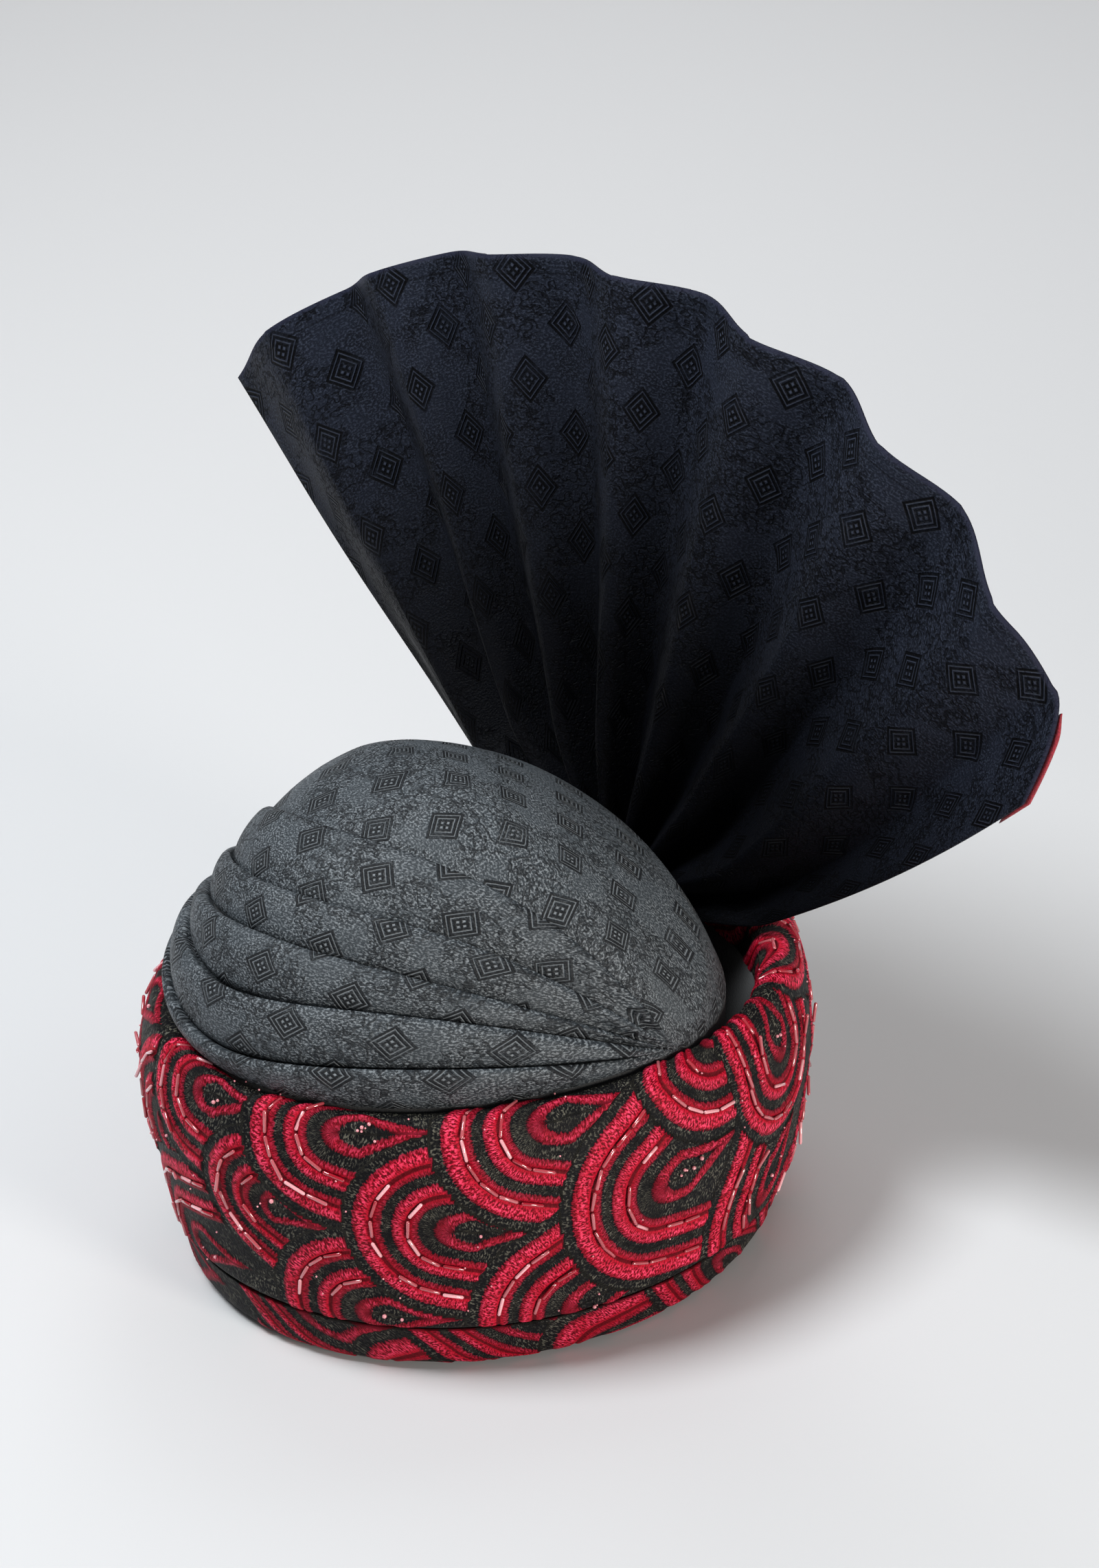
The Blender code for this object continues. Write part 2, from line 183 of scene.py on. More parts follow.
# Stitched feather motifs: bearing of the eye from +X, its height along the cloth from the lip, the
# way it opens from level towards +bearing, size against the usual one, how far the eye lies from
# the middle of its rings, and how far the rings' arms spread. A larger bearing lies on top.
MOTIFS = (
    {"bearing": -99.1, "up": 0.0560, "opens": -12, "size": 0.98, "lead": 0.0080, "spread": 14},
    {"bearing": -94.5, "up": 0.0124, "opens": 2, "size": 0.95, "lead": 0.0085, "spread": 14},
    {"bearing": -85.8, "up": 0.0870, "opens": 6, "size": 0.95, "lead": 0.0085, "spread": 16},
    {"bearing": -71.6, "up": 0.0500, "opens": -14, "size": 0.84, "lead": 0.0030, "spread": 18},
    {"bearing": -55.3, "up": 0.0870, "opens": 3, "size": 1.00, "lead": 0.0098, "spread": 18},
    {"bearing": -53.1, "up": 0.0080, "opens": -2, "size": 1.00, "lead": 0.0085, "spread": 18},
    {"bearing": -37.2, "up": 0.0474, "opens": -5, "size": 1.00, "lead": 0.0095, "spread": 10},
    {"bearing": -20.6, "up": 0.0876, "opens": 4, "size": 1.09, "lead": 0.0092, "spread": 20},
    {"bearing": -16.0, "up": 0.0080, "opens": 14, "size": 1.11, "lead": 0.0100, "spread": 18},
    {"bearing": 0.0, "up": 0.0504, "opens": 13, "size": 1.13, "lead": 0.0097, "spread": 21},
    {"bearing": 13.1, "up": 0.1016, "opens": 15, "size": 1.07, "lead": 0.0092, "spread": 16},
    {"bearing": 25.9, "up": 0.0220, "opens": 50, "size": 1.08, "lead": 0.0098, "spread": 16},
    {"bearing": 26.5, "up": 0.0810, "opens": 93, "size": 0.93, "lead": 0.0100, "spread": 4},
    {"bearing": 49.0, "up": 0.1180, "opens": 55, "size": 0.95, "lead": 0.0098, "spread": 12},
)
# Rows of the repeat that go round the part of the band which the picture doesn't show.
REPEAT_ROWS = (
    {"from": 83.0, "step": 38.3, "count": 5, "up": 0.0880, "opens": 6, "size": 1.02},
    {"from": 70.0, "step": 38.2, "count": 5, "up": 0.0495, "opens": 4, "size": 1.05},
    {"from": 58.0, "step": 34.6, "count": 6, "up": 0.0100, "opens": 6, "size": 1.00},
)
REPEAT_LEAD = 0.0095
REPEAT_SPREAD = 16
MOTIF_REACH = 0.0392
MOTIF_ARM = 0.060
RED_LANES = (
    {"inner": 0.0118, "line": 0.0156, "outer": 0.0210},
    {"inner": 0.0250, "line": 0.0284, "outer": 0.0352},
)
LANE_CHANGE = 0.0230
ALMOND = {"tip": 0.0057, "half": 0.0090, "tail": 0.0270, "eye": 0.58, "taper": 0.75}
RING_ELLIPSE = (0.1158, 0.1340)
RING_STEPS = 2881
SEAM_LOW = -145.0
SEAM_HIGH = 120.0
WRAP_SHIFT = (0.034, 0.026)

# What the ground between the motifs carries, and how thread and tone differ between motifs.
GROUND = {"red": -0.002, "lane": 0.010, "tone": 0.5}
THREAD_SHIFT = 0.37
TONE_STEP = 0.381966

RED_RELIEF = 0.0008
RED_EDGE = {"from": 0.0008, "over": 0.0026}
RELIEF_FADE = 0.004
GROOVE_DEPTH = 0.0009
GROOVE_HALF = 0.0013

# Beads: the long bugles on each red lane's line, and round seeds in the eyes and strewn about.
BUGLE = {"length": 0.0084, "radius": 0.00068, "pitch": 0.0089, "stray": 0.0024, "rarity": 8}
BUGLE_SIDES = 8
BUGLE_PROFILE = ((0.0, 0.55), (0.06, 1.0), (0.94, 1.0), (1.0, 0.55))
MISSING_SHARE = 0.12
PINK_AND_HIGHLIGHT_SHARE = 0.24
BEAD_FOOT = 0.003
BEAD_TOP = 0.018
BEND_STEPS = 120
ARM_STEPS = 60
SEED_RADIUS = 0.00080
SEED_RINGS = 4
SEED_SIDES = 7
EYE_SEEDS = (0, 1, 2, 5)
EYE_HALF = (0.0060, 0.0036)
SEED_PROUD = 0.0008
LOOSE_SEEDS = 130
LOOSE_PROUD = 0.0014
LOOSE_FOOT = 0.004
ASKEW = (0.31, 0.52, 0.79)

SEED = 7


def mix(low, high, share):
    return low + (high - low) * share


def ease(share):
    """Smooth step from 0 to 1."""
    share = np.clip(share, 0.0, 1.0)
    return share * share * (3.0 - 2.0 * share)


# Meshes from grids of points


def grid_faces(rows, columns):
    """Faces of a grid of points stored row by row."""
    corner = (np.arange(rows - 1)[:, None] * columns + np.arange(columns - 1)[None]).ravel()
    return np.stack([corner, corner + 1, corner + columns + 1, corner + columns], axis=1)


def store(data, name, kind, values):
    """Gives each point one value, or one vector."""
    layer = data.attributes.new(name, kind, "POINT")
    layer.data.foreach_set("vector" if kind == "FLOAT_VECTOR" else "value", values)


def place(name, data):
    item = bpy.data.objects.new(name, data)
    bpy.context.scene.collection.objects.link(item)
    return item


def shaded(name, points, faces, material):
    """A smooth object that rides on the frame."""
    data = bpy.data.meshes.new(name)
    data.from_pydata(points, [], faces)
    data.materials.append(material)
    data.shade_smooth()
    item = place(name, data)
    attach(item, "root")
    return item


def make_piece(name, points, attributes, material):
    """A piece from a grid of points. attributes go by name, with one row a point."""
    faces = grid_faces(*points.shape[:2]).tolist()
    item = shaded(name, points.reshape(-1, 3).tolist(), faces, material)
    for key, values in attributes.items():
        flat = np.ascontiguousarray(values, dtype=np.float32).ravel()
        store(item.data, key, "FLOAT_VECTOR", flat)
    return item


def grid_normals(points):
    """Unit normals of a grid of points, from its rows and columns."""
    down = np.gradient(points, axis=0)
    along = np.gradient(points, axis=1)
    normal = np.cross(along, down)
    return normal / np.maximum(np.linalg.norm(normal, axis=2, keepdims=True), 1e-12)


# Crown


def wall_point(bearing, z, swell, back):
    """Point of the wall below the gathers."""
    share = np.sin(0.5 * math.pi * np.minimum(z / GATHER_Z, 1.0))
    level = (GATHER_Z - CROWN_WIDEST_Z) / CROWN_RISE
    reach = math.sqrt(1.0 - level * level)
    foot = OPENING_HALF_LENGTH + CROWN_WALL
    half_width = mix(OPENING_HALF_WIDTH + CROWN_WALL, CROWN_HALF_WIDTH * reach, share)
    length = mix(foot, np.where(np.sin(bearing) > 0.0, back, CROWN_FRONT) * reach, share)
    middle = mix(0.0, CROWN_MIDDLE_Y + CROWN_LEAN * level, share)
    x = (half_width + swell) * np.cos(bearing)
    y = middle + (length + swell) * np.sin(bearing)
    return np.stack(np.broadcast_arrays(x, y, z), axis=-1)


def dome_point(around, up, swell):
    """Point of the dome, by its place round from gather to gather and its angle up."""
    x = np.cos(around)
    y = -np.sin(around) * np.cos(up)
    climb = np.sin(around) * np.sin(up)
    level = mix((GATHER_Z - CROWN_WIDEST_Z) / CROWN_RISE, 1.0, climb)
    reach = np.sqrt(np.maximum(1.0 - level * level, 0.0)) / np.maximum(np.hypot(x, y), 1e-9)
    length = np.where(y > 0.0, CROWN_BACK, CROWN_FRONT)
    return np.stack(
        (
            CROWN_HALF_WIDTH * reach * x + swell * x,
            CROWN_MIDDLE_Y + CROWN_LEAN * level + length * reach * y + swell * y,
            CROWN_WIDEST_Z + CROWN_RISE * level + swell * climb,
        ),
        axis=-1,
    )


def crease_angle(fold, around):
    """Angle up to a crease, which falls once it is past the brow."""
    aside = np.hypot(np.cos(around), BROW_ROUNDING) - BROW_ROUNDING
    furthest = math.hypot(1.0, BROW_ROUNDING) - BROW_ROUNDING
    past = ease((np.degrees(around) - FALL_STARTS) / (FALL_ENDS - FALL_STARTS))
    return np.radians(mix(fold["brow"], fold["side"], aside / furthest) - fold["falls"] * past)


def fold_rows():
    """Rows of the crown's cloth: the two creases, share of the way, form, lift and tuck. Each
    fold comes out from behind the one below, swells, and rolls over at its upper edge."""
    rows = []
    lower = FRONT_EDGE
    for fold in FOLDS:
        if lower is not FRONT_EDGE:
            for behind in (FOLD_TUCK_SHARE, 0.5 * FOLD_TUCK_SHARE):
                rows.append((lower, fold, -behind, lower["out"], 0.0, FOLD_TUCK_DEPTH))
        for step in range(ROWS_A_FOLD + 1):
            share = step / ROWS_A_FOLD
            out = mix(lower["out"], fold["out"], share)
            swelling = math.sin(0.5 * math.pi * min(share / FOLD_CREST, 1.0)) ** FOLD_SWELL
            rolled = FOLD_ROLL * (max(share - FOLD_CREST, 0.0) / (1.0 - FOLD_CREST)) ** 2
            rows.append((lower, fold, share, out, fold["height"] * (swelling - rolled), 0.0))
        lift = FOLD_LIP["height"] * fold["height"]
        rows.append((lower, fold, FOLD_LIP["share"], fold["out"], lift, 0.0))
        under = 1.0 - FOLD_LIP["behind"] * FOLD_TUCK_SHARE
        rows.append((lower, fold, under, fold["out"], 0.0, FOLD_LIP["tuck"] * FOLD_TUCK_DEPTH))
        lower = fold
    rows.append((lower, BACK_EDGE, PANEL_START, lower["out"], 0.0, FOLD_TUCK_DEPTH))
    for step in range(PANEL_ROWS + 1):
        share = step / PANEL_ROWS
        out = float(np.interp(share, PANEL_SHARE, PANEL_OUT))
        rows.append((lower, BACK_EDGE, share, out, 0.0, 0.0))
    return rows


def wrinkles(around, up, from_gather):
    """Small ridges that fan out from the gathers and soft unevenness elsewhere."""
    near = np.exp(-(((from_gather - RIDGE["crest"]) / RIDGE["reach"]) ** 2))
    near = near * ease(from_gather / RIDGE["from"]) * ease((RIDGE["top"] - up) / RIDGE["fade"])
    ends = ease(up / RIDGE["edge"]) * ease((math.pi - up) / RIDGE["edge"])
    fine = sum(
        strength * np.sin(pitch * up + phase + turn * around)
        for pitch, phase, turn, strength in RIDGE_WAVES
    )
    soft = np.prod([np.sin(turn * around + pitch * up) for turn, pitch in UNEVEN_WAVES], axis=0)
    broad = UNEVEN["height"] * soft * ease(from_gather / UNEVEN["from"])
    return RIDGE["height"] * near * fine * ends + broad


def make_crown(material, lining_material):
    around = np.linspace(0.0, math.pi, CROWN_COLUMNS + 1)
    from_gather = np.degrees(np.minimum(around, math.pi - around))
    lift_fade = mix(FOLD_HEIGHT_AT_GATHER, 1.0, np.sin(around)) * ease(from_gather / FOLD_FADE)
    form_fade = ease(from_gather / FORM_FADE)
    rows = fold_rows()
    dome = []
    cloth = []
    for index, (lower, upper, share, out, lift, tuck) in enumerate(rows):
        low = crease_angle(lower, around)
        high = crease_angle(upper, around)
        number = FOLDS.index(lower) + 1 if lower in FOLDS else 0
        waves = CREASE_WOBBLE["waves"] * around + CREASE_WOBBLE["shift"] * (number - 1)
        wobble = CREASE_WOBBLE["size"] * np.sin(waves) * form_fade if number else 0.0
        between = ease(np.array(CREASE_WOBBLE["reach"] - abs(2.0 * share - 1.0)))
        up = np.clip(mix(low, high, share) + wobble * between, 0.0, math.pi)
        edge = 0.0 if index in (0, len(rows) - 1) else 1.0
        swell = out * form_fade + (lift - tuck) * lift_fade + edge * wrinkles(around, up, from_gather)
        dome.append(dome_point(around, up, swell))
        middle = 0.5 * (crease_angle(lower, BROW) + min(crease_angle(upper, BROW), PANEL_MIDDLE))
        narrowed = np.maximum(np.sin(around), NARROWEST)
        level = CLOTH_RADIUS * (middle + narrowed * (up - middle))
        shift = np.full_like(around, FOLD_SHIFT * number)
        cloth.append(np.stack((CLOTH_RADIUS * around, level, shift), axis=-1))
    outer = make_piece("crown_cloth", np.stack(dome), {"cloth": np.stack(cloth)}, material)
    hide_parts("crown")

    bearing = -np.linspace(0.0, 2.0 * math.pi, 2 * CROWN_COLUMNS + 1)
    heights = np.linspace(GATHER_Z, CROWN_FOOT_Z, SKIRT_ROWS + 1)
    outside = [wall_point(bearing, z, 0.0, CROWN_BACK) for z in heights]
    inside = [wall_point(bearing, z, -CROWN_WALL, CROWN_BACK) for z in reversed(heights)]
    lining = []
    for share in np.linspace(0.0, 1.0, LINING_ROWS + 1):
        swell = np.interp(share, LINING_SHARE, LINING_OUT) * form_fade - CROWN_WALL
        lining.append(dome_point(around, np.full_like(around, math.pi * share), swell))
    wall = make_piece("crown_wall", np.stack(outside + inside), {}, lining_material)
    inner = make_piece("crown_lining", np.stack(lining), {}, lining_material)
    for piece in (wall, inner):
        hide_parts("crown")


# Band


def crest_height(bearing):
    """Height of the band's top, which rises a little at the back."""
    return BAND_CREST_Z + BAND_BACK_RISE * ease(np.sin(bearing))


def band_side(bearing, share, inset):
    """Point of the band's outer side, by its share of the crest's height."""
    half_width = np.interp(share, BAND_SHARE, BAND_HALF_WIDTH) - inset
    front = np.interp(share, BAND_SHARE, BAND_FRONT) - inset
    back = np.interp(share, BAND_SHARE, BAND_BACK) - inset
    length = np.where(np.sin(bearing) > 0.0, back, front)
    shift = float(ease(1.0 - share / BAND_FOOT_SHIFT["fades_by"]))
    x = half_width * np.cos(bearing) + BAND_FOOT_SHIFT["x"] * shift
    y = length * np.sin(bearing) + BAND_FOOT_SHIFT["y"] * shift
    return np.stack((x, y, share * crest_height(bearing)), axis=-1)


def band_inside(bearing, z, away):
    """Point of the band's inner side, which keeps a gap from the crown."""
    return wall_point(bearing, z + 0.0 * bearing, GAP + away, BAND_POCKET_BACK)


def smooth_rows(knots, steps):
    """Catmull-Rom rows through the knots, each knot being a row of points."""
    padded = np.concatenate((2.0 * knots[:1] - knots[1:2], knots, 2.0 * knots[-1:] - knots[-2:-1]))
    rows = []
    for index, count in enumerate(steps):
        before, low, high, after = padded[index : index + 4]
        for step in range(count):
            t = step / count
            rows.append(
                0.5
                * (
                    2.0 * low
                    + (high - before) * t
                    + (2.0 * before - 5.0 * low + 4.0 * high - after) * t * t
                    + (3.0 * low - before - 3.0 * high + after) * t**3
                )
            )
    rows.append(knots[-1])
    return np.stack(rows)


def ring_length(bearing):
    """Length round the band from bearing 0, along its reference ellipse."""
    steps = np.linspace(-2.0 * math.pi, 2.0 * math.pi, RING_STEPS)
    pace = np.hypot(RING_ELLIPSE[0] * np.sin(steps), RING_ELLIPSE[1] * np.cos(steps))
    total = np.concatenate(([0.0], np.cumsum(0.5 * (pace[1:] + pace[:-1]) * np.diff(steps))))
    total -= np.interp(0.0, steps, total)
    return np.interp(bearing, steps, total)


def within_ring(u, start):
    """Length round the band counted from the bearing start on."""
    around = ring_length(2.0 * math.pi)
    first = ring_length(start)
    return first + (u - first) % around


def all_motifs():
    """Every motif with its place in the band's developed cloth, in the order they overlap. Those
    near the end of the ring come twice, so that the overlap goes on across it."""
    charted = [dict(motif) for motif in MOTIFS]
    for row in REPEAT_ROWS:
        for number in range(row["count"]):
            bearing = (row["from"] + row["step"] * number + 180.0) % 360.0 - 180.0
            charted.append({**row, "bearing": bearing, "lead": REPEAT_LEAD, "spread": REPEAT_SPREAD})
    for motif in list(charted):
        if motif["bearing"] > SEAM_HIGH:
            charted.append({**motif, "bearing": motif["bearing"] - 360.0})
        if motif["bearing"] < SEAM_LOW:
            charted.append({**motif, "bearing": motif["bearing"] + 360.0})
    charted.sort(key=lambda motif: motif["bearing"])
    for motif in charted:
        motif["u"] = float(ring_length(math.radians(motif["bearing"])))
    return charted


def motif_place(motif, u, v):
    """A place in a motif's own form: along its opening from the eye, ring radius, almond radius
    (1 at its edge) and length along its rings."""
    turn = math.radians(motif["opens"])
    spread = math.radians(motif["spread"])
    du = within_ring(u, -math.pi) - motif["u"]
    dv = v - motif["up"]
    x = (du * math.cos(turn) + dv * math.sin(turn)) / motif["size"]
    y = (dv * math.cos(turn) - du * math.sin(turn)) / motif["size"]
    start = x + motif["lead"]
    side = np.abs(y)
    past = start * math.cos(spread) + side * math.sin(spread)
    arm = side * math.cos(spread) - start * math.sin(spread)
    ring = np.where(past < 0.0, np.hypot(start, y), arm)
    tip = motif["lead"] + ALMOND["tip"]
    ahead = np.maximum(x, 0.0) / ALMOND["tail"]
    tail = side / ALMOND["half"] + ahead ** ALMOND["taper"]
    almond = np.where(x < 0.0, np.hypot(x / tip, y / ALMOND["half"]), tail)
    bend = np.minimum(np.abs(np.arctan2(y, -start)), 0.5 * math.pi - spread)
    along = np.sign(y) * (RED_LANES[1]["line"] * bend + np.maximum(past, 0.0))
    return x, ring, almond, along


def stitch_field(motifs, u, v):
    """Attributes of the stitched cloth at each place: red is over 0 in a red lane and below 0 in
    a dark one, lane is the signed distance from the bead line, and thread runs along the rings."""
    red = np.full(u.shape, GROUND["red"])
    lane = np.full(u.shape, GROUND["lane"])
    thread = u.copy()
    tone = np.full(u.shape, GROUND["tone"])
    for index, motif in enumerate(motifs):
        x, ring, almond, along = motif_place(motif, u, v)
        covered = (ring < MOTIF_REACH) & (x < MOTIF_ARM)
        level = ALMOND["half"] * np.minimum(almond - ALMOND["eye"], 1.0 - almond)
        line = np.where(ring < LANE_CHANGE, ring - RED_LANES[0]["line"], ring - RED_LANES[1]["line"])
        for stripe in RED_LANES:
            level = np.maximum(level, np.minimum(ring - stripe["inner"], stripe["outer"] - ring))
        red = np.where(covered, level * motif["size"], red)
        lane = np.where(covered, line * motif["size"], lane)
        thread = np.where(covered, along * motif["size"] + THREAD_SHIFT * index, thread)
        tone = np.where(covered, (index * TONE_STEP) % 1.0, tone)
    return red, lane, thread, tone


def relief_of(red, lane):
    """Height of the stitching above the ground."""
    raised = RED_RELIEF * ease((red + RED_EDGE["from"]) / RED_EDGE["over"])
    groove = GROOVE_DEPTH * (1.0 - ease(np.abs(lane) / GROOVE_HALF)) * (red > 0.0)
    return raised - groove


def stitch(motifs, skin, u, v, slant, relief):
    """Raised skin of stitched cloth, with its attributes field and cloth."""
    u = np.broadcast_to(u[None], skin.shape[:2]).copy()
    v = np.broadcast_to(v[:, None], skin.shape[:2]).copy()
    red, lane, thread, tone = stitch_field(motifs, u - slant * v, v)
    raised = skin + grid_normals(skin) * (relief * relief_of(red, lane))[..., None]
    return raised, np.stack((red, lane, thread), axis=-1), np.stack((u, v, tone), axis=-1)


def make_band(stitched, plain):
    """Makes the band, and gives its smooth skin with the heights and bearings of its grid, and the
    motifs."""
    bearing = np.linspace(BAND_START, BAND_START + 2.0 * math.pi, BAND_COLUMNS + 1)
    inner = band_inside(bearing, BAND_INNER_TOP_SHARE * BAND_CREST_Z, 0.0)
    middle = 0.5 * (band_side(bearing, BAND_OUTER_SHARES[-1], 0.0) + inner)
    middle[:, 2] = crest_height(bearing)
    knots = [band_side(bearing, RECESS_TOP_SHARE, RECESS_DEPTH)]
    knots.append(band_side(bearing, RECESS_TOP_SHARE + BAND_LIP["above"], BAND_LIP["inset"]))
    knots += [band_side(bearing, share, 0.0) for share in BAND_OUTER_SHARES]
    knots += [middle, inner, band_inside(bearing, BAND_INNER_HEIGHTS[0], 0.0)]
    skin = smooth_rows(np.stack(knots), BAND_STEPS)
    rise = np.linalg.norm(np.diff(skin, axis=0), axis=2).mean(axis=1)
    height = np.concatenate(([0.0], np.cumsum(rise)))
    motifs = all_motifs()
    relief = ease(height / RELIEF_FADE)[:, None]
    raised, field, cloth = stitch(motifs, skin, ring_length(bearing), height, 0.0, relief)
    band = make_piece("band_stitched", raised, {"field": field, "cloth": cloth}, stitched)
    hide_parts("band")

    back = [band_inside(bearing, z, 0.0) for z in BAND_INNER_HEIGHTS]
    seat = [band_inside(bearing, 0.0, BAND_SEAT_INSET + width) for width in (0.0, BAND_SEAT_WIDTH)]
    foot = [band_side(bearing, share, RECESS_DEPTH) for share in WRAP_SHARES + (RECESS_TOP_SHARE,)]
    base = make_piece("band_ground", np.stack(back + seat + foot), {}, plain)
    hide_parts("band")
    return skin, height, bearing, motifs


def make_wrap(stitched, bearing, motifs):
    outer = [band_side(bearing, share, WRAP_SETBACK) for share in WRAP_SHARES]
    back = WRAP_SETBACK + WRAP_THICKNESS
    inner = [band_side(bearing, share, back) for share in reversed(WRAP_SHARES)]
    skin = smooth_rows(np.stack(outer), WRAP_STEPS)
    along = ring_length(bearing) + WRAP_SHIFT[0]
    up = WRAP_SHIFT[1] - np.linspace(0.0, WRAP_HEIGHT, len(skin))
    raised, field, cloth = stitch(motifs, skin, along, up, WRAP_SLANT, WRAP_RELIEF)
    points = np.concatenate((raised, np.stack(inner), raised[:1]))
    hidden = np.zeros((len(inner) + 1,) + raised.shape[1:])
    attributes = {"field": np.concatenate((field, hidden)), "cloth": np.concatenate((cloth, hidden))}
    wrap = make_piece("wrap_stitched", points, attributes, stitched)
    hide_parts("band_lower_wrap")


# Beads


class Skin:
    """Finds points and normals of the band's stitched skin by place in its cloth."""

    def __init__(self, skin, height, bearing):
        self.points = skin
        self.normals = grid_normals(skin)
        self.height = height
        self.length = ring_length(bearing)

    def at(self, u, v):
        row = float(np.interp(v, self.height, np.arange(len(self.height))))
        u = within_ring(u, BAND_START)
        column = float(np.interp(u, self.length, np.arange(len(self.length))))
        i = min(int(row), len(self.height) - 2)
        j = min(int(column), len(self.length) - 2)
        a = row - i
        b = column - j
        weights = ((1 - a) * (1 - b), (1 - a) * b, a * (1 - b), a * b)
        corners = ((i, j), (i, j + 1), (i + 1, j), (i + 1, j + 1))
        point = sum(w * self.points[c] for w, c in zip(weights, corners))
        normal = sum(w * self.normals[c] for w, c in zip(weights, corners))
        return point, normal / np.linalg.norm(normal)


def covering(motifs, u, v):
    """Index of the topmost motif at a place, or -1."""
    for index in range(len(motifs) - 1, -1, -1):
        x, ring, _, _ = motif_place(motifs[index], np.array(u), np.array(v))
        if ring < MOTIF_REACH and x < MOTIF_ARM:
            return index
    return -1


def motif_point(motif, x, y):
    """Place in the cloth of a point given from a motif's eye."""
    turn = math.radians(motif["opens"])
    u = motif["u"] + motif["size"] * (x * math.cos(turn) - y * math.sin(turn))
    v = motif["up"] + motif["size"] * (x * math.sin(turn) + y * math.cos(turn))
    return u, v


def ring_path(motif, radius):
    """Places along one ring of a motif, from the end of one arm round to the other's."""
    spread = math.radians(motif["spread"])
    bend = np.linspace(0.5 * math.pi + spread, 1.5 * math.pi - spread, BEND_STEPS)
    out = np.linspace(MOTIF_ARM, 0.0, ARM_STEPS)
    x = np.concatenate((out * math.cos(spread) + radius * math.cos(bend[0]), radius * np.cos(bend)))
    y = np.concatenate((out * math.sin(spread) + radius * math.sin(bend[0]), radius * np.sin(bend)))
    x = np.concatenate((x, x[ARM_STEPS - 1 :: -1])) - motif["lead"]
    y = np.concatenate((y, -y[ARM_STEPS - 1 :: -1]))
    u, v = motif_point(motif, x, y)
    length = np.concatenate(([0.0], np.cumsum(np.hypot(np.diff(u), np.diff(v)))))
    return u, v, length


def across(direction):
    """Two unit vectors square to a direction."""
    side = np.cross(direction, ASKEW)
    side /= np.linalg.norm(side)
    return side, np.cross(direction, side)


def add_tube(verts, faces, start, end):
    """A closed straight bead with bevelled ends."""
    side, other = across((end - start) / np.linalg.norm(end - start))
    first = len(verts)
    for along, share in BUGLE_PROFILE:
        centre = start + (end - start) * along
        for turn in np.linspace(0.0, 2.0 * math.pi, BUGLE_SIDES, endpoint=False):
            spoke = side * math.cos(turn) + other * math.sin(turn)
            verts.append(tuple(centre + spoke * (BUGLE["radius"] * share)))
    rings = len(BUGLE_PROFILE) - 1
    for ring in range(rings):
        for k in range(BUGLE_SIDES):
            a = first + ring * BUGLE_SIDES + k
            b = first + ring * BUGLE_SIDES + (k + 1) % BUGLE_SIDES
            faces.append((a, b, b + BUGLE_SIDES, a + BUGLE_SIDES))
    faces.append(tuple(first + k for k in reversed(range(BUGLE_SIDES))))
    faces.append(tuple(first + rings * BUGLE_SIDES + k for k in range(BUGLE_SIDES)))


def add_seed(verts, faces, centre, normal, radius):
    """A small round bead."""
    side, other = across(normal)
    first = len(verts)
    for ring in range(1, SEED_RINGS):
        tilt = math.pi * ring / SEED_RINGS
        for k in range(SEED_SIDES):
            turn = 2.0 * math.pi * k / SEED_SIDES
            spoke = side * math.cos(turn) + other * math.sin(turn)
            verts.append(tuple(centre + radius * (math.sin(tilt) * spoke + math.cos(tilt) * normal)))
    top = len(verts)
    verts.append(tuple(centre + radius * normal))
    verts.append(tuple(centre - radius * normal))
    low = first + (SEED_RINGS - 2) * SEED_SIDES
    for k in range(SEED_SIDES):
        following = (k + 1) % SEED_SIDES
        faces.append((top, first + k, first + following))
        faces.append((top + 1, low + following, low + k))
        for ring in range(SEED_RINGS - 2):
            a = first + ring * SEED_SIDES
            faces.append((a + k, a + SEED_SIDES + k, a + SEED_SIDES + following, a + following))


